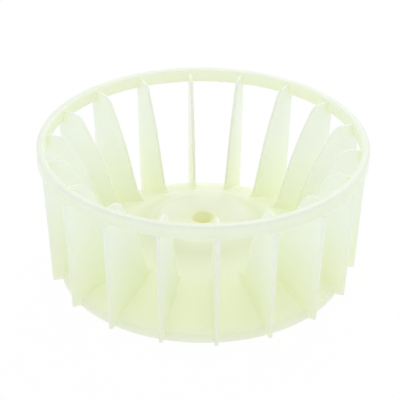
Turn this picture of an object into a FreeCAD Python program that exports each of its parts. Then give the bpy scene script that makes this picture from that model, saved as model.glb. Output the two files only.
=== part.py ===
"""Blower wheel of a clothes dryer: one moulding with a raised hub, a coned back plate, radial blades and a
ring that ties the blades together at the open end. Millimetres, +Z up, with the origin on the bore's axis at
the plane on which the wheel rests. The blades stand at equal steps round +Z, the first of them along +X."""

import FreeCAD, Part
import math
import os
import Sketcher

OUTPUT_FOLDER = "parts"

# Driving dimensions. Radii are measured from the bore's axis and heights from the resting plane. The blades'
# inner edge runs through crest, waist and foot, and "sunk" is how deep joined features reach into each other.
SIZES = {
    "ring_radius": 99.0,
    "ring_width": 5.0,
    "ring_top": 85.2,
    "ring_depth": 8.4,
    "ring_round": 1.7,
    "edge_round": 0.7,
    "blade_count": 18,
    "blade_top": 83.6,
    "blade_tip": 2.0,
    "blade_tip_radius": 93.4,
    "blade_ring_radius": 97.9,
    "blade_thick_outer": 2.2,
    "blade_thick_inner": 1.1,
    "blade_root_radius": 40.0,
    "blade_crest_radius": 83.4,
    "blade_crest_round": 8.0,
    "blade_waist_radius": 70.2,
    "blade_waist_height": 59.8,
    "blade_waist_round": 130.0,
    "blade_foot_radius": 55.3,
    "blade_foot_round": 8.0,
    "plate_radius": 87.2,
    "plate_edge_height": 6.0,
    "plate_wall": 2.8,
    "rim_wall": 2.4,
    "hub_face_radius": 28.0,
    "hub_face_height": 32.0,
    "hub_face_round": 8.0,
    "boss_radius": 12.0,
    "boss_foot": 1.5,
    "boss_root_round": 3.0,
    "bore_radius": 6.35,
    "bore_chamfer": 0.65,
    "gusset_count": 6,
    "gusset_thickness": 1.8,
    "gusset_root_radius": 11.0,
    "gusset_foot": 9.0,
    "gusset_reach": 31.0,
    "sunk": 0.6,
}

# Slope of the coned plate, as rise towards the axis over run, and its upper surface at a radius.
CONE_RISE = "((Sizes.hub_face_height - Sizes.plate_edge_height) / (Sizes.plate_radius - Sizes.hub_face_radius))"


def cone_top(radius):
    """Height of the coned plate's upper surface at a radius, as an expression."""
    return f"(Sizes.plate_edge_height + (Sizes.plate_radius - {radius}) * {CONE_RISE})"


def make_sheet(doc):
    sheet = doc.addObject("Spreadsheet::Sheet", "Sizes")
    for row, (alias, value) in enumerate(SIZES.items(), start=1):
        sheet.set(f"A{row}", alias)
        sheet.set(f"B{row}", str(value))
        sheet.setAlias(f"B{row}", alias)
    doc.recompute()
    return sheet


def origin_feature(body, role):
    return next(item for item in body.Origin.OriginFeatures if item.Role == role)


def new_sketch(body, name, plane):
    sketch = body.newObject("Sketcher::SketchObject", name)
    sketch.AttachmentSupport = [(origin_feature(body, plane), "")]
    sketch.MapMode = "FlatFace"
    return sketch


def unit(vector):
    return vector * (1.0 / vector.Length)


def place_point(sketch, name, geometry, position, x_rule, y_rule):
    """Holds a point of the sketch at two expressions of the sheet."""
    point = sketch.getPoint(geometry, position)
    for kind, value, rule, axis in (("DistanceX", point.x, x_rule, "x"), ("DistanceY", point.y, y_rule, "y")):
        sketch.addConstraint(Sketcher.Constraint(kind, -1, 1, geometry, position, value))
        label = f"{name}_{axis}"
        sketch.renameConstraint(sketch.ConstraintCount - 1, label)
        sketch.setExpression(f"Constraints.{label}", rule)


def draw_outline(sketch, sheet, name, corners):
    """Closed outline through corners, each an x rule, a y rule and a rule for its rounding or None. A rounded
    corner becomes an arc tangent to both sides, and a construction point keeps the place where they meet."""
    spots = [
        FreeCAD.Vector(float(sheet.evalExpression(x)), float(sheet.evalExpression(y)), 0) for x, y, _ in corners
    ]
    count = len(corners)
    leave, arrive, arcs = [], [], []
    for i, here in enumerate(spots):
        rounding = corners[i][2]
        back = unit(spots[i - 1] - here)
        ahead = unit(spots[(i + 1) % count] - here)
        if rounding is None:
            arrive.append(here)
            leave.append(here)
            arcs.append(None)
            continue
        radius = float(sheet.evalExpression(rounding))
        half = back.getAngle(ahead) / 2
        arrive.append(here + back * (radius / math.tan(half)))
        leave.append(here + ahead * (radius / math.tan(half)))
        centre = here + unit(back + ahead) * (radius / math.sin(half))
        middle = centre + unit(here - centre) * radius
        arcs.append(Part.Arc(arrive[i], middle, leave[i]))

    lines = [
        sketch.addGeometry(Part.LineSegment(leave[i], arrive[(i + 1) % count])) for i in range(count)
    ]
    for i, (x, y, rounding) in enumerate(corners):
        line_in, line_out = lines[i - 1], lines[i]
        if arcs[i] is None:
            sketch.addConstraint(Sketcher.Constraint("Coincident", line_in, 2, line_out, 1))
            place_point(sketch, f"{name}{i}", line_out, 1, x, y)
            continue
        arc = sketch.addGeometry(arcs[i])
        start_first = (sketch.getPoint(arc, 1) - arrive[i]).Length < (sketch.getPoint(arc, 2) - arrive[i]).Length
        first, second = (1, 2) if start_first else (2, 1)
        corner = sketch.addGeometry(Part.Point(spots[i]), True)
        sketch.addConstraint(Sketcher.Constraint("Tangent", line_in, 2, arc, first))
        sketch.addConstraint(Sketcher.Constraint("Tangent", line_out, 1, arc, second))
        sketch.addConstraint(Sketcher.Constraint("PointOnObject", corner, 1, line_in))
        sketch.addConstraint(Sketcher.Constraint("PointOnObject", corner, 1, line_out))
        place_point(sketch, f"{name}{i}", corner, 1, x, y)
        sketch.addConstraint(Sketcher.Constraint("Radius", arc, float(sheet.evalExpression(rounding))))
        label = f"{name}{i}_round"
        sketch.renameConstraint(sketch.ConstraintCount - 1, label)
        sketch.setExpression(f"Constraints.{label}", rounding)


def revolve(body, name, sketch):
    feature = body.newObject("PartDesign::Revolution", name)
    feature.Profile = sketch
    feature.ReferenceAxis = (sketch, ["V_Axis"])
    feature.Angle = 360
    return feature


def pad_both_ways(body, name, sketch, thickness):
    feature = body.newObject("PartDesign::Pad", name)
    feature.Profile = sketch
    feature.SideType = "Symmetric"
    feature.setExpression("Length", thickness)
    return feature


def repeat_round(body, name, features, count):
    feature = body.newObject("PartDesign::PolarPattern", name)
    feature.Originals = features
    feature.Axis = (origin_feature(body, "Z_Axis"), [""])
    feature.Angle = 360
    feature.setExpression("Occurrences", count)
    body.Tip = feature
    return feature


def cut_away(body, name, sketch):
    """Cut that runs the whole way through, to both sides of the sketch."""
    feature = body.newObject("PartDesign::Pocket", name)
    feature.Profile = sketch
    feature.SideType = "Symmetric"
    feature.Type = "ThroughAll"
    return feature


def add_blades(body, sheet):
    """One blade's side view, thinned towards the axis by a wedge-shaped cut, and then all of them."""
    side = new_sketch(body, "BladeSide", "XZ_Plane")
    rim_inside = "(Sizes.plate_radius - Sizes.rim_wall / 2)"
    foot = "Sizes.blade_foot_radius"
    root = "Sizes.blade_root_radius"
    draw_outline(
        side,
        sheet,
        "side",
        [
            (root, f"{cone_top(root)} - Sizes.sunk", None),
            (foot, f"{cone_top(foot)} - Sizes.sunk", "Sizes.blade_foot_round"),
            ("Sizes.blade_waist_radius", "Sizes.blade_waist_height", "Sizes.blade_waist_round"),
            ("Sizes.blade_crest_radius", "Sizes.blade_top", "Sizes.blade_crest_round"),
            ("Sizes.blade_ring_radius", "Sizes.blade_top", None),
            ("Sizes.blade_tip_radius", "Sizes.blade_tip", None),
            (rim_inside, "Sizes.blade_tip", None),
            (rim_inside, f"{cone_top(rim_inside)} - 2 * Sizes.sunk", None),
            (root, f"{cone_top(root)} - 2 * Sizes.sunk", None),
        ],
    )
    blade = pad_both_ways(body, "Blade", side, "Sizes.blade_thick_outer")

    plan = new_sketch(body, "BladeTaper", "XY_Plane")
    for name, sign in (("left", ""), ("right", "-")):
        draw_outline(
            plan,
            sheet,
            name,
            [
                (root, f"{sign}Sizes.blade_thick_inner / 2", None),
                ("Sizes.ring_radius", f"{sign}Sizes.blade_thick_outer / 2", None),
                ("Sizes.ring_radius", f"{sign}Sizes.blade_thick_outer", None),
                (root, f"{sign}Sizes.blade_thick_outer", None),
            ],
        )
    taper = cut_away(body, "BladeThinned", plan)
    body.Document.recompute()
    return repeat_round(body, "Blades", [blade, taper], "Sizes.blade_count")


def add_plate(body, sheet):
    """Hub face, coned plate and rim in one half section, with the boss that hangs under the hub face."""
    section = new_sketch(body, "PlateSection", "XZ_Plane")
    rim_inside = "(Sizes.plate_radius - Sizes.rim_wall)"
    draw_outline(
        section,
        sheet,
        "plate",
        [
            ("0", "Sizes.boss_foot", None),
            ("Sizes.boss_radius", "Sizes.boss_foot", "Sizes.edge_round"),
            ("Sizes.boss_radius", "Sizes.hub_face_height - Sizes.plate_wall", "Sizes.boss_root_round"),
            ("Sizes.hub_face_radius", "Sizes.hub_face_height - Sizes.plate_wall", "Sizes.hub_face_round"),
            (rim_inside, f"{cone_top(rim_inside)} - Sizes.plate_wall", None),
            (rim_inside, "0", None),
            ("Sizes.plate_radius", "0", None),
            ("Sizes.plate_radius", "Sizes.plate_edge_height", "Sizes.edge_round"),
            ("Sizes.hub_face_radius", "Sizes.hub_face_height", "Sizes.hub_face_round"),
            ("0", "Sizes.hub_face_height", None),
        ],
    )
    return revolve(body, "Plate", section)


def add_ring(body, sheet):
    """Ring at the open end, rounder above than below."""
    section = new_sketch(body, "RingSection", "XZ_Plane")
    inside = "Sizes.ring_radius - Sizes.ring_width"
    underside = "Sizes.ring_top - Sizes.ring_depth"
    draw_outline(
        section,
        sheet,
        "ring",
        [
            (inside, underside, "Sizes.edge_round"),
            ("Sizes.ring_radius", underside, "Sizes.edge_round"),
            ("Sizes.ring_radius", "Sizes.ring_top", "Sizes.ring_round"),
            (inside, "Sizes.ring_top", "Sizes.ring_round"),
        ],
    )
    return revolve(body, "Ring", section)


def add_gussets(body, sheet):
    """Triangular webs under the plate, from the boss out to the cone."""
    side = new_sketch(body, "GussetSide", "XZ_Plane")
    inside = "Sizes.gusset_root_radius"
    wall_middle = "Sizes.plate_wall / 2"
    draw_outline(
        side,
        sheet,
        "gusset",
        [
            (inside, "Sizes.gusset_foot", None),
            ("Sizes.gusset_reach", f"{cone_top('Sizes.gusset_reach')} - {wall_middle}", None),
            ("Sizes.hub_face_radius", f"Sizes.hub_face_height - {wall_middle}", "Sizes.hub_face_round"),
            (inside, f"Sizes.hub_face_height - {wall_middle}", None),
        ],
    )
    gusset = pad_both_ways(body, "Gusset", side, "Sizes.gusset_thickness")
    return repeat_round(body, "Gussets", [gusset], "Sizes.gusset_count")


def add_bore(body):
    """Bore for the motor shaft, eased at both mouths."""
    circle = new_sketch(body, "BoreCircle", "XY_Plane")
    bore_radius = SIZES["bore_radius"]
    ring = circle.addGeometry(Part.Circle(FreeCAD.Vector(), FreeCAD.Vector(0, 0, 1), bore_radius))
    circle.addConstraint(Sketcher.Constraint("Coincident", ring, 3, -1, 1))
    circle.addConstraint(Sketcher.Constraint("Radius", ring, bore_radius))
    circle.setExpression("Constraints[1]", "Sizes.bore_radius")
    bore = cut_away(body, "Bore", circle)
    body.Document.recompute()

    mouths = [
        f"Edge{i}"
        for i, edge in enumerate(bore.Shape.Edges, start=1)
        if isinstance(edge.Curve, Part.Circle) and abs(edge.Curve.Radius - bore_radius) < 1e-6
    ]
    eased = body.newObject("PartDesign::Chamfer", "BoreMouths")
    eased.Base = (bore, mouths)
    eased.setExpression("Size", "Sizes.bore_chamfer")
    body.Tip = eased
    return eased


def check_document(doc, body):
    """Stops the build where a feature failed, a sketch is loose or the moulding isn't one valid solid."""
    for item in doc.Objects:
        if {"Invalid", "Error"} & set(item.State):
            raise RuntimeError(f"{item.Name} failed: {item.State}")
        if item.TypeId == "Sketcher::SketchObject" and not item.FullyConstrained:
            raise RuntimeError(f"{item.Name} isn't fully constrained")
    shape = body.Shape
    if shape.isNull() or not shape.isValid() or len(shape.Solids) != 1:
        raise RuntimeError(f"{body.Label} is not one valid solid")


def main():
    doc = FreeCAD.newDocument("BlowerWheel")
    sheet = make_sheet(doc)
    body = doc.addObject("PartDesign::Body", "BlowerWheel")
    body.Label = "blower_wheel"
    for step in (add_blades, add_plate, add_ring, add_gussets):
        feature = step(body, sheet)
        doc.recompute()
        print(f"{feature.Name}: {feature.Shape.Volume / 1000:.1f} cm3, {len(feature.Shape.Solids)} solid(s)")
    add_bore(body)
    doc.recompute()
    check_document(doc, body)

    shape = body.Shape
    size = shape.optimalBoundingBox()
    print(
        f"{body.Label}: {size.XLength:.1f} x {size.YLength:.1f} x {size.ZLength:.1f} mm, "
        f"{shape.Volume / 1000:.1f} cm3, {len(shape.Faces)} faces"
    )
    os.makedirs(OUTPUT_FOLDER, exist_ok=True)
    shape.exportStep(os.path.join(OUTPUT_FOLDER, body.Label + ".step"))


main()
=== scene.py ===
# %% [markdown]
# # A dryer's blower wheel, dressed for its picture
# The wheel is one moulding of natural plastic. It arrives here as a solid, and this lesson gives it a finer
# mesh, the milky look of the plastic, a white bench to stand on and soft light. Blender works in metres. +Z
# runs along the shaft, and the origin is where the shaft's axis meets the bench. Sizes of the wheel are
# written in millimetres and multiplied by MM where they go into Blender.

import math

import bmesh
import bpy
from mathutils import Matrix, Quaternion, Vector


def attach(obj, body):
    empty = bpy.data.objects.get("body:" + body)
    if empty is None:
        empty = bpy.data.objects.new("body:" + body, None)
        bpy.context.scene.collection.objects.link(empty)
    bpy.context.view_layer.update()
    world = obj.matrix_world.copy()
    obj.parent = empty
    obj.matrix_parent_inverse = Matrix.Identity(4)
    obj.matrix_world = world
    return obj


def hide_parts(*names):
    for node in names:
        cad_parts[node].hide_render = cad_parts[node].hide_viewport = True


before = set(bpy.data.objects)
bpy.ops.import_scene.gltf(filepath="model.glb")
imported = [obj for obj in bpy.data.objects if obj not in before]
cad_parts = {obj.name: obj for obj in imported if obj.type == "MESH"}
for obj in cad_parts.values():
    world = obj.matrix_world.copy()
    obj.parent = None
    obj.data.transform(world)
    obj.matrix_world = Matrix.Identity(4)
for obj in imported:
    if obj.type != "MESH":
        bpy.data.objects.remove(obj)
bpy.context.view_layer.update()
MM = 0.001

# %% [markdown]
# ## The camera
# The photograph was taken with a long lens from above, a little to the right of one blade. The place of the
# camera was worked out from the ellipses of the ring and of the plate and from the tips of the blades. A
# long lens from far away keeps the near and the far side of the ring almost equally wide. The last turn, of
# less than half a degree, is the small lean of the camera.

# %% Place the camera
CAMERA_PLACE = Vector((0.0738, -0.9141, 0.5854))
CAMERA_AIM = Vector((-0.0017, -0.0001, 0.0440))
CAMERA_LENS = 158.2
CAMERA_SENSOR = 36
CAMERA_LEAN = math.radians(0.456)

camera_data = bpy.data.cameras.new("camera")
camera_data.lens = CAMERA_LENS
camera_data.sensor_width = CAMERA_SENSOR
camera = bpy.data.objects.new("camera", camera_data)
camera.location = CAMERA_PLACE
camera.rotation_mode = "QUATERNION"
look = (CAMERA_AIM - CAMERA_PLACE).to_track_quat("-Z", "Y")
camera.rotation_quaternion = look @ Quaternion((0, 0, 1), CAMERA_LEAN)
bpy.context.collection.objects.link(camera)
bpy.context.scene.camera = camera
print("camera", round((CAMERA_AIM - CAMERA_PLACE).length, 3), "m away")

# %% [markdown]
# ## From a closed outline to a round piece
# The plate and the ring are turned shapes, and a blade is a flat one. All three start as a closed outline
# with some corners rounded. A vertex bevel rounds a corner: its offset is how far from the corner the round
# starts, which for a radius and a turn of the path is the radius times the tangent of half the turn.

# %% Draw an outline with rounded corners
ARC_STEP = math.radians(8)
LEAST_ARC_STEPS = 3


def outline(corners):
    """A bmesh with one face in the XZ plane. Each corner is radius, height and rounding, in millimetres."""
    shape = bmesh.new()
    spots = [Vector((x * MM, 0, z * MM)) for x, z, _ in corners]
    verts = [shape.verts.new(spot) for spot in spots]
    shape.faces.new(verts)
    for i, (vert, (_, _, rounding)) in enumerate(zip(verts, corners)):
        if rounding == 0:
            continue
        arriving = (spots[i] - spots[i - 1]).normalized()
        leaving = (spots[(i + 1) % len(spots)] - spots[i]).normalized()
        turn = arriving.angle(leaving)
        bmesh.ops.bevel(
            shape,
            geom=[vert],
            offset=rounding * MM * math.tan(turn / 2),
            segments=max(LEAST_ARC_STEPS, round(turn / ARC_STEP)),
            profile=0.5,
            affect="VERTICES",
            material=-1,
        )
    return shape


# %% Turn an outline round the shaft
TURN_STEPS = 180
WELD = 0.001


def turned(corners):
    """The outline swept round +Z into a closed shape."""
    shape = outline(corners)
    bmesh.ops.delete(shape, geom=shape.faces[:], context="FACES_ONLY")
    bmesh.ops.spin(
        shape,
        geom=shape.verts[:] + shape.edges[:],
        cent=(0, 0, 0),
        axis=(0, 0, 1),
        angle=math.tau,
        steps=TURN_STEPS,
        use_merge=True,
    )
    bmesh.ops.remove_doubles(shape, verts=shape.verts[:], dist=WELD * MM)
    bmesh.ops.recalc_face_normals(shape, faces=shape.faces[:])
    return shape


# %% Make an object of a shape
def as_object(name, shape):
    mesh = bpy.data.meshes.new(name)
    shape.to_mesh(mesh)
    shape.free()
    piece = bpy.data.objects.new(name, mesh)
    bpy.context.collection.objects.link(piece)
    print(f"{name}: {len(mesh.polygons)} faces")
    return piece


# %% [markdown]
# ## The plate, the hub and the ring
# The plate is a shallow cone that rises from its rim to a flat hub face. The boss that grips the motor's
# shaft hangs under the hub face, and its bore goes right through. Plate, hub and boss are one outline here,
# because they come out of the mould as one wall. The ring at the open end is rounder above than below.

# %% The plate's sizes
PLATE_RADIUS = 87.2
PLATE_EDGE_HEIGHT = 6.0
PLATE_WALL = 2.8
RIM_WALL = 2.4
HUB_RADIUS = 28.0
HUB_HEIGHT = 32.0
HUB_ROUND = 8.0
BOSS_RADIUS = 12.0
BOSS_FOOT = 1.5
BOSS_ROOT_ROUND = 3.0
BORE_RADIUS = 6.35
BORE_EASE = 0.65
EDGE_ROUND = 0.7
CONE_RISE = (HUB_HEIGHT - PLATE_EDGE_HEIGHT) / (PLATE_RADIUS - HUB_RADIUS)
print("slope of the cone:", round(math.degrees(math.atan(CONE_RISE)), 1), "degrees")


def cone_top(radius):
    """Height of the cone's upper surface at a radius, in millimetres."""
    return PLATE_EDGE_HEIGHT + (PLATE_RADIUS - radius) * CONE_RISE


# %% Turn the plate
RIM_INSIDE = PLATE_RADIUS - RIM_WALL
plate = as_object(
    "plate",
    turned(
        [
            (BORE_RADIUS + BORE_EASE, BOSS_FOOT, 0),
            (BOSS_RADIUS, BOSS_FOOT, EDGE_ROUND),
            (BOSS_RADIUS, HUB_HEIGHT - PLATE_WALL, BOSS_ROOT_ROUND),
            (HUB_RADIUS, HUB_HEIGHT - PLATE_WALL, HUB_ROUND),
            (RIM_INSIDE, cone_top(RIM_INSIDE) - PLATE_WALL, 0),
            (RIM_INSIDE, 0, 0),
            (PLATE_RADIUS, 0, 0),
            (PLATE_RADIUS, PLATE_EDGE_HEIGHT, EDGE_ROUND),
            (HUB_RADIUS, HUB_HEIGHT, HUB_ROUND),
            (BORE_RADIUS + BORE_EASE, HUB_HEIGHT, 0),
            (BORE_RADIUS, HUB_HEIGHT - BORE_EASE, 0),
            (BORE_RADIUS, BOSS_FOOT + BORE_EASE, 0),
        ]
    ),
)

# %% Turn the ring
RING_RADIUS = 99.0
RING_INSIDE = 94.0
RING_TOP = 85.2
RING_UNDERSIDE = 76.8
RING_ROUND = 1.7
ring = as_object(
    "ring",
    turned(
        [
            (RING_INSIDE, RING_UNDERSIDE, EDGE_ROUND),
            (RING_RADIUS, RING_UNDERSIDE, EDGE_ROUND),
            (RING_RADIUS, RING_TOP, RING_ROUND),
            (RING_INSIDE, RING_TOP, RING_ROUND),
        ]
    ),
)

# %% [markdown]
# ## The blades
# Eighteen straight blades stand on the cone and hold the ring. A blade is flat, thicker at its outer edge,
# and its inner edge bows gently from a round foot to a round crest under the ring. It is drawn from the
# side, extruded to its greatest thickness and then thinned towards the shaft, and last its long edges are
# eased.

# %% The blade's side view
BLADE_COUNT = 18
BLADE_ROOT = 40.0
BLADE_FOOT = 55.3
BLADE_WAIST = 70.2
BLADE_WAIST_HEIGHT = 59.8
BLADE_BOW = 130.0
BLADE_CREST = 83.4
BLADE_TOP = 83.6
BLADE_ROUND = 8.0
BLADE_OUT_AT_TOP = 97.9
BLADE_OUT_AT_TIP = 93.4
BLADE_TIP = 2.0
SUNK = 0.6
RIM_MIDDLE = PLATE_RADIUS - RIM_WALL / 2
BLADE_VIEW = [
    (BLADE_ROOT, cone_top(BLADE_ROOT) - SUNK, 0),
    (BLADE_FOOT, cone_top(BLADE_FOOT) - SUNK, BLADE_ROUND),
    (BLADE_WAIST, BLADE_WAIST_HEIGHT, BLADE_BOW),
    (BLADE_CREST, BLADE_TOP, BLADE_ROUND),
    (BLADE_OUT_AT_TOP, BLADE_TOP, 0),
    (BLADE_OUT_AT_TIP, BLADE_TIP, 0),
    (RIM_MIDDLE, BLADE_TIP, 0),
    (RIM_MIDDLE, cone_top(RIM_MIDDLE) - 2 * SUNK, 0),
    (BLADE_ROOT, cone_top(BLADE_ROOT) - 2 * SUNK, 0),
]
print("a blade is", BLADE_TOP - BLADE_TIP, "mm high at its outer edge")

# %% Extrude a side view
BLADE_OUTER = 2.2
BLADE_INNER = 1.1


def extruded(view, thick):
    """A flat piece of even thickness on both sides of the XZ plane."""
    shape = outline(view)
    front = bmesh.ops.extrude_face_region(shape, geom=shape.faces[:])
    moved = [item for item in front["geom"] if isinstance(item, bmesh.types.BMVert)]
    bmesh.ops.translate(shape, verts=moved, vec=(0, thick * MM, 0))
    bmesh.ops.translate(shape, verts=shape.verts[:], vec=(0, -thick / 2 * MM, 0))
    bmesh.ops.recalc_face_normals(shape, faces=shape.faces[:])
    return shape


blade = extruded(BLADE_VIEW, BLADE_OUTER)
print("one blade before easing:", len(blade.faces), "faces")


# %% Thin the blade towards the shaft
def thickness(radius):
    """A blade's thickness at a radius, both in millimetres."""
    share = (radius - BLADE_ROOT) / (RING_RADIUS - BLADE_ROOT)
    return BLADE_INNER + share * (BLADE_OUTER - BLADE_INNER)


for vert in blade.verts:
    vert.co.y *= thickness(vert.co.x / MM) / BLADE_OUTER
print("thickness at the foot:", round(thickness(BLADE_FOOT), 2), "mm")

# %% [markdown]
# The edges to ease run along the outline, so both their ends lie on the same side of the blade and at
# nearly the same Y. Those that are sunk in the plate stay square, because the plate hides them.

# %% Ease the long edges
BLADE_EASE = 0.5
EASE_STEPS = 3
SAME_SIDE = 0.3


def stands_free(vert):
    """Whether a corner of the blade is above the plate or outside its rim."""
    return vert.co.z > cone_top(vert.co.x / MM) * MM or vert.co.x > PLATE_RADIUS * MM


long_edges = [
    edge
    for edge in blade.edges
    if abs(edge.verts[0].co.y - edge.verts[1].co.y) < SAME_SIDE * MM and all(map(stands_free, edge.verts))
]
bmesh.ops.bevel(
    blade,
    geom=long_edges,
    offset=BLADE_EASE * MM,
    segments=EASE_STEPS,
    profile=0.5,
    affect="EDGES",
    material=-1,
)
print("one blade:", len(blade.faces), "faces")


# %% Set the blades round the shaft
def repeated(name, shape, count):
    """Copies of a shape at equal steps round +Z, in one object."""
    bmesh.ops.spin(
        shape,
        geom=shape.verts[:] + shape.edges[:] + shape.faces[:],
        cent=(0, 0, 0),
        axis=(0, 0, 1),
        angle=math.tau * (count - 1) / count,
        steps=count - 1,
        use_duplicate=True,
    )
    bmesh.ops.recalc_face_normals(shape, faces=shape.faces[:])
    return as_object(name, shape)


blades = repeated("blades", blade, BLADE_COUNT)

# %% [markdown]
# Small webs under the hub tie the boss to the plate. They start inside the boss and end in the middle of
# the plate's wall, so that nothing is only laid against its neighbour.

# %% The webs under the hub
GUSSET_COUNT = 6
GUSSET_THICK = 1.8
GUSSET_ROOT = 11.0
GUSSET_FOOT = 9.0
GUSSET_REACH = 31.0
WALL_MIDDLE = PLATE_WALL / 2
GUSSET_VIEW = [
    (GUSSET_ROOT, GUSSET_FOOT, 0),
    (GUSSET_REACH, cone_top(GUSSET_REACH) - WALL_MIDDLE, 0),
    (HUB_RADIUS, HUB_HEIGHT - WALL_MIDDLE, HUB_ROUND),
    (GUSSET_ROOT, HUB_HEIGHT - WALL_MIDDLE, 0),
]
gussets = repeated("gussets", extruded(GUSSET_VIEW, GUSSET_THICK), GUSSET_COUNT)

# %% [markdown]
# ## One moulding
# The four shapes only overlap so far. Light wanders through this plastic, and hidden walls inside it would
# stop the light, so the shapes have to become one closed skin. A Boolean union with the exact solver does
# that, and the mesh it leaves is then fixed by taking it from the evaluated object.

# %% Join the shapes
wheel = plate
for other in (blades, ring, gussets):
    union = wheel.modifiers.new(other.name, "BOOLEAN")
    union.operation = "UNION"
    union.solver = "EXACT"
    union.object = other
shown = wheel.evaluated_get(bpy.context.evaluated_depsgraph_get())
joined = bpy.data.meshes.new_from_object(shown)
for other in (blades, ring, gussets, plate):
    bpy.data.objects.remove(other)
wheel = bpy.data.objects.new("wheel", joined)
bpy.context.collection.objects.link(wheel)
print("joined:", len(joined.polygons), "faces")

# %% Check and smooth the skin
SHARP_ANGLE = math.radians(32)
skin = bmesh.new()
skin.from_mesh(joined)
bmesh.ops.remove_doubles(skin, verts=skin.verts[:], dist=WELD * MM)
open_edges = sum(not edge.is_manifold for edge in skin.edges)
skin.to_mesh(joined)
skin.free()
joined.shade_smooth()
joined.set_sharp_from_angle(angle=SHARP_ANGLE)
evened = wheel.modifiers.new("evened", "WEIGHTED_NORMAL")
evened.keep_sharp = True
print("edges that aren't closed:", open_edges)

# %% [markdown]
# ## The plastic
# The wheel is natural polypropylene, with no pigment in it. Light enters, wanders about and leaves on
# either side of the wall, and each passage takes a little of the blue, so the plastic is nearly white where
# light has just met it and yellow green where walls stand close together. Subsurface scattering was tried
# first, but it drew white lines along the thin edges and turned the plate grey. Two shaders in a mix come
# closer: one for the light that comes back, and a Translucent one for the light that goes through. The
# helpers below add nodes to the tree that the names nodes and links stand for at the time.

# %% Start the plastic
plastic = bpy.data.materials.new("natural_plastic")
plastic.use_nodes = True
nodes, links = plastic.node_tree.nodes, plastic.node_tree.links


def add(kind, **settings):
    node = nodes.new("ShaderNode" + kind)
    for name, value in settings.items():
        setattr(node, name, value)
    return node


# %% Work with values
def worked(operation, first, *others):
    """One value out of several by a repeated operation. Each is a node's output or a number."""
    result = first
    for other in others:
        node = add("Math", operation=operation)
        for socket, value in zip(node.inputs, (result, other)):
            if isinstance(value, (int, float)):
                socket.default_value = value
            else:
                links.new(value, socket)
        result = node.outputs[0]
    return result


def eased(source, start, end, before, after):
    """A smooth change from one value to another while the source goes from its start to its end."""
    node = add("MapRange", interpolation_type="SMOOTHSTEP")
    for name, value in (("From Min", start), ("From Max", end), ("To Min", before), ("To Max", after)):
        node.inputs[name].default_value = value
    links.new(source, node.inputs["Value"])
    return node.outputs["Result"]


def fade(distance, start, end, before, after):
    """A smooth change along a distance. Its start and its end are in millimetres."""
    return eased(distance, start * MM, end * MM, before, after)


# %% Work with colours
def tint(share, first, second):
    """A colour between two others, each given as a colour or as a node's output."""
    node = add("Mix", data_type="RGBA")
    links.new(share, node.inputs[0])
    for socket, colour in ((node.inputs[6], first), (node.inputs[7], second)):
        if isinstance(colour, tuple):
            socket.default_value = (*colour, 1)
        else:
            links.new(colour, socket)
    return node.outputs[2]


# %% [markdown]
# The shade of the colour is painted by place and follows the walls. Object coordinates are metres in the
# wheel's own frame: their Z is the height above the bench, and the length of X and Y is the distance from
# the shaft. The height and a share of the radius add up to the same number all over the cone, so what
# exceeds that number is how far a spot stands clear of the plate.

# %% Height, distance from the shaft and clearance over the plate
place = add("TexCoord").outputs["Object"]
axes = add("SeparateXYZ")
links.new(place, axes.inputs[0])
height = axes.outputs["Z"]
flat_place = add("CombineXYZ")
links.new(axes.outputs["X"], flat_place.inputs["X"])
links.new(axes.outputs["Y"], flat_place.inputs["Y"])
length = add("VectorMath", operation="LENGTH")
links.new(flat_place.outputs[0], length.inputs[0])
radius = length.outputs["Value"]
PLATE_SUM = PLATE_EDGE_HEIGHT + PLATE_RADIUS * CONE_RISE
clearance = worked("SUBTRACT", worked("ADD", worked("MULTIPLY", radius, CONE_RISE), height), PLATE_SUM * MM)
print("height and share of the radius add up to", round(PLATE_SUM, 2), "mm on the plate")

# %% [markdown]
# The plate and the feet of the blades are painted deepest, as painted shade for light that reaches them
# only after many passages. The hub face, the rim and the outer edges of the blades lie open to the light
# and are painted paler, as painted light. A blade is thin and has light on both sides, so where it stands
# clear of the plate it takes only part of this painted shade.

# %% Painted shade low down on the wheel
below_hub_face = fade(height, 29.0, 31.9, 1, 0.45)
past_hub_face = fade(radius, 19.0, 30.0, 0, 1)
towards_plate = fade(height, 10.0, 66.0, 1, 0)
above_rim_foot = fade(height, 2.0, 6.2, 0.3, 1)
inside_outer_edges = fade(radius, 82.0, 97.0, 1, 0.45)
close_to_plate = fade(clearance, 1.0, 8.0, 1, 0.72)
painted_shade_low_down = worked(
    "MULTIPLY",
    worked("MAXIMUM", below_hub_face, past_hub_face),
    towards_plate,
    above_rim_foot,
    inside_outer_edges,
    close_to_plate,
)

# %% [markdown]
# The ring's inner band and the lower part of its face are painted yellower than its top, as painted shade:
# the top gets more of the light, and the ring, the thickest bar of the wheel, keeps more of the light that
# enters it.

# %% Painted shade on the ring's inner band and on its face
painted_shade_ring_band = worked(
    "MULTIPLY",
    fade(radius, 90.5, 92.5, 0, 1),
    fade(radius, 94.2, 96.0, 1, 0),
    fade(height, 75.5, 77.5, 0, 1),
    fade(height, 83.5, RING_TOP, 1, 0.35),
)
painted_shade_ring_face = worked(
    "MULTIPLY",
    fade(radius, 97.5, 98.7, 0, 1),
    fade(height, 76.5, 79.5, 0.6, 1),
    fade(height, 80.5, 84.5, 0.45, 0),
)
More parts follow.
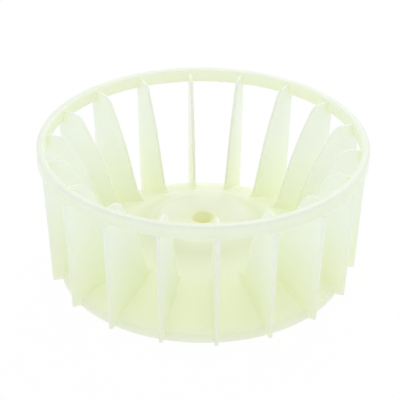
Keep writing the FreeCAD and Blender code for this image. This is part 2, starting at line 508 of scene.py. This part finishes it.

# %% [markdown]
# The narrow inner edges of the blades are painted a little deeper than their sides, as painted shade that
# tones down the light they catch, for there we look along the wall and not through it. An edge is found by
# its normal: round the shaft, a blade's side faces along the circle, and its edge doesn't. The plate does
# not either, so only what stands clear of the plate and inside the ring counts.

# %% Painted shade on the inner edges of the blades
facing = add("SeparateXYZ")
links.new(add("TexCoord").outputs["Normal"], facing.inputs[0])
along_circle = worked(
    "SUBTRACT",
    worked("MULTIPLY", facing.outputs["Y"], axes.outputs["X"]),
    worked("MULTIPLY", facing.outputs["X"], axes.outputs["Y"]),
)
sideways = add("Math", operation="ABSOLUTE")
links.new(worked("DIVIDE", along_circle, radius), sideways.inputs[0])
painted_shade_inner_edges = worked(
    "MULTIPLY",
    eased(sideways.outputs[0], 0.35, 0.95, 0.2, 0),
    fade(clearance, 0.8, 3.0, 0, 1),
    fade(radius, 89.0, 91.5, 1, 0),
)

# %% [markdown]
# No moulding is quite even, so a soft cloud of its own tone goes over the painted shade of the colour, and
# finer clouds serve for the gloss and the ripple of the surface.

# %% Add up the painted shade and the blotches
NOISE_LOW = 0.3
NOISE_HIGH = 0.7


def cloud(scale, detail, low, high):
    """Soft blotches of a value over the plastic. The scale is in blotches per metre."""
    noise = add("TexNoise")
    noise.inputs["Scale"].default_value = scale
    noise.inputs["Detail"].default_value = detail
    links.new(place, noise.inputs["Vector"])
    return eased(noise.outputs[0], NOISE_LOW, NOISE_HIGH, low, high)


painted_shade_by_place = worked("MAXIMUM", painted_shade_low_down, painted_shade_ring_band, painted_shade_ring_face)
uneven = cloud(scale=32, detail=3, low=-0.07, high=0.07)
painted_shade_and_blotches = worked("ADD", painted_shade_by_place, uneven, painted_shade_inner_edges)

# %% [markdown]
# The painted shade leads from a near white to a pale green. The outer edges of the blades look into the
# open room and not at other walls, so their white is painted a little cooler, as painted light, and the
# white of the thick ring is painted a shade greyer, as painted shade. Round the boss, walls and webs crowd
# the hollow under the plate, and the slope above them is painted olive, as the painted shade of that
# hollow. The bore is cut through the solid boss, and it is painted amber, as painted shade in the hole.

# %% Colours of the plastic, with painted light and shade
NEAR_WHITE = (0.965, 0.985, 0.945)
# Painted light: a cooler white on the outer edges of the blades.
PAINTED_COOL_LIGHT = (0.952, 0.986, 0.940)
# Painted shade: a greyer white on the thick ring.
PAINTED_RING_SHADE = (0.926, 0.955, 0.918)
# Painted shade: the deep colour where walls stand close.
PAINTED_SHADE_GREEN = (0.955, 0.978, 0.825)
# Painted shade of the hollow round the boss.
PAINTED_BOSS_SHADE = (0.895, 0.923, 0.755)
# Painted shade in the bore.
PAINTED_BORE_SHADE = (1.0, 0.985, 0.77)
# Where the painted cool light, the painted ring shade, the painted boss shade and the painted bore shade
# go.
outside = fade(radius, 92.5, 96.5, 0, 1)
painted_ring_shade_share = worked("MULTIPLY", fade(height, 76.0, 77.5, 0, 1), fade(radius, 94.4, 95.8, 0, 1))
painted_boss_shade_share = worked("MULTIPLY", fade(radius, 31.0, 50.0, 1, 0), fade(height, 28.0, 31.6, 1, 0))
painted_bore_shade_share = worked("MULTIPLY", fade(radius, 6.6, 12.0, 1, 0), fade(height, 28.0, 33.0, 1, 0.6))
open_colour_painted_light = tint(painted_ring_shade_share, tint(outside, NEAR_WHITE, PAINTED_COOL_LIGHT), PAINTED_RING_SHADE)
wall_colour_painted_shade = tint(painted_shade_and_blotches, open_colour_painted_light, PAINTED_SHADE_GREEN)
colour = tint(painted_bore_shade_share, tint(painted_boss_shade_share, wall_colour_painted_shade, PAINTED_BOSS_SHADE), PAINTED_BORE_SHADE)
print("colour is ready after", len(nodes), "nodes")

# %% [markdown]
# A moulded surface is satin, and not evenly so: it is a little glossier where the melt pressed harder
# against the steel, and it carries a fine ripple that is only seen close up. The mix below keeps a little
# less than half of this shader's shine, so its specular level is twice the usual one.

# %% The light that comes back
PLASTIC_IOR = 1.49
DOUBLED_SHINE = 1.0
GLOSSIEST = 0.30
DULLEST = 0.38
RIPPLE_DEPTH = 0.04
RIPPLE_STRENGTH = 0.25
returned = nodes["Principled BSDF"]
links.new(colour, returned.inputs["Base Color"])
links.new(cloud(scale=45, detail=2, low=GLOSSIEST, high=DULLEST), returned.inputs["Roughness"])
returned.inputs["IOR"].default_value = PLASTIC_IOR
returned.inputs["Specular IOR Level"].default_value = DOUBLED_SHINE
ripple = add("Bump")
ripple.inputs["Strength"].default_value = RIPPLE_STRENGTH
ripple.inputs["Distance"].default_value = RIPPLE_DEPTH * MM
links.new(cloud(scale=650, detail=2, low=0, high=1), ripple.inputs["Height"])
links.new(ripple.outputs["Normal"], returned.inputs["Normal"])

# %% [markdown]
# Seen at a low angle, plastic throws back most of the light before any can enter, so there the Translucent
# share is taken away. That is why the far slope of the plate is pale and mirrors the feet of the blades,
# while the near slope shows its colour. The fifth power of the facing angle is close to the real curve. The
# Fresnel node isn't used for it, because on the way out of the wall it counts most light as thrown back
# inside, and the wheel turns dull.

# %% Mix in the light that goes through
THROUGH = 0.55
LOW_ANGLE_POWER = 5
passed = add("BsdfTranslucent")
links.new(colour, passed.inputs["Color"])
layer = add("LayerWeight")
layer.inputs["Blend"].default_value = 0.5
glance = worked("POWER", layer.outputs["Facing"], LOW_ANGLE_POWER)
both = add("MixShader")
links.new(eased(glance, 0, 1, THROUGH, 0), both.inputs[0])
links.new(returned.outputs[0], both.inputs[1])
links.new(passed.outputs[0], both.inputs[2])
links.new(both.outputs[0], nodes["Material Output"].inputs["Surface"])
joined.materials.clear()
joined.materials.append(plastic)
print("plastic:", len(nodes), "nodes")

# %% Hand the wheel to the frame
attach(wheel, "root")
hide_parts("blower_wheel")

# %% [markdown]
# ## The bench and the light
# The wheel stands on a white bench in a white room. The bench that the camera sees is mostly a plain white,
# with a share of real shading so that the wheel keeps its shadow.

# %% The bench
BENCH_RADIUS = 6.0
BENCH_SIDES = 96
bench_shape = bmesh.new()
bmesh.ops.create_circle(bench_shape, cap_ends=True, radius=BENCH_RADIUS, segments=BENCH_SIDES)
bench = as_object("bench", bench_shape)

# %% The bench's white
BENCH_PAINT = (0.96, 0.96, 0.96)
PLAIN_SHARE = 0.95
bench_white = bpy.data.materials.new("bench_white")
bench_white.use_nodes = True
nodes, links = bench_white.node_tree.nodes, bench_white.node_tree.links
nodes.clear()
paint = add("BsdfDiffuse")
paint.inputs["Color"].default_value = (*BENCH_PAINT, 1)
glow = add("Emission")
glow.inputs["Strength"].default_value = 1.0
rays = add("LightPath").outputs
seen = worked("MAXIMUM", rays["Is Camera Ray"], rays["Is Glossy Ray"], rays["Is Transmission Ray"])
mix = add("MixShader")
links.new(worked("MULTIPLY", seen, PLAIN_SHARE), mix.inputs[0])
links.new(paint.outputs[0], mix.inputs[1])
links.new(glow.outputs[0], mix.inputs[2])
links.new(mix.outputs[0], add("OutputMaterial").inputs["Surface"])
bench.data.materials.append(bench_white)
print("bench:", PLAIN_SHARE, "of what the camera sees is plain white")

# %% [markdown]
# The room is an even white, and a shade less bright in front, on the camera's side. The camera itself sees
# a full white. A soft box behind the wheel shines through the far blades. One on either side lifts the
# faces of the blades, which look sideways and would turn grey in the light of the room alone.

# %% The white room
ROOM_LIGHT = 0.87
ROOM_LIGHT_IN_FRONT = 0.85
world = bpy.data.worlds.new("room")
world.use_nodes = True
bpy.context.scene.world = world
nodes, links = world.node_tree.nodes, world.node_tree.links
background = nodes["Background"]
background.inputs["Color"].default_value = (1, 1, 1, 1)
direction = add("SeparateXYZ")
links.new(add("TexCoord").outputs["Generated"], direction.inputs[0])
by_side = add("MapRange")
by_side.inputs["From Min"].default_value = -1.0
by_side.inputs["To Min"].default_value = ROOM_LIGHT_IN_FRONT
by_side.inputs["To Max"].default_value = ROOM_LIGHT
links.new(direction.outputs["Y"], by_side.inputs["Value"])
brightness = add("MapRange")
brightness.inputs["To Max"].default_value = 1.0
links.new(by_side.outputs["Result"], brightness.inputs["To Min"])
links.new(add("LightPath").outputs["Is Camera Ray"], brightness.inputs["Value"])
links.new(brightness.outputs["Result"], background.inputs["Strength"])
print("room light", ROOM_LIGHT_IN_FRONT, "in front and", ROOM_LIGHT, "behind")

# %% The soft boxes
LIT_SPOT = Vector((0, 0, 0.04))


def soft_box(name, where, size, watts):
    """A round lamp that faces the middle of the wheel. Its place and size are in metres."""
    lamp_data = bpy.data.lights.new(name, "AREA")
    lamp_data.shape = "DISK"
    lamp_data.size = size
    lamp_data.energy = watts
    lamp = bpy.data.objects.new(name, lamp_data)
    lamp.location = where
    lamp.rotation_euler = (LIT_SPOT - lamp.location).to_track_quat("-Z", "Y").to_euler()
    bpy.context.collection.objects.link(lamp)
    print(f"{name}: {watts} W")


soft_box("soft_box_behind", where=(0.15, 1.0, 1.1), size=1.2, watts=4.5)
soft_box("soft_box_left", where=(-1.3, 0.55, 0.55), size=1.0, watts=1.3)
soft_box("soft_box_right", where=(1.3, 0.55, 0.55), size=1.0, watts=1.9)

# %% [markdown]
# The glow of the wheel is light that has been through many walls, so Cycles has to follow it for longer
# than it does by default.

# %% Settings of the picture
MOST_BOUNCES = 40
MOST_DIFFUSE_BOUNCES = 32
scene = bpy.context.scene
scene.cycles.max_bounces = MOST_BOUNCES
scene.cycles.diffuse_bounces = MOST_DIFFUSE_BOUNCES
scene.view_settings.view_transform = "Standard"
print("view transform", scene.view_settings.view_transform)
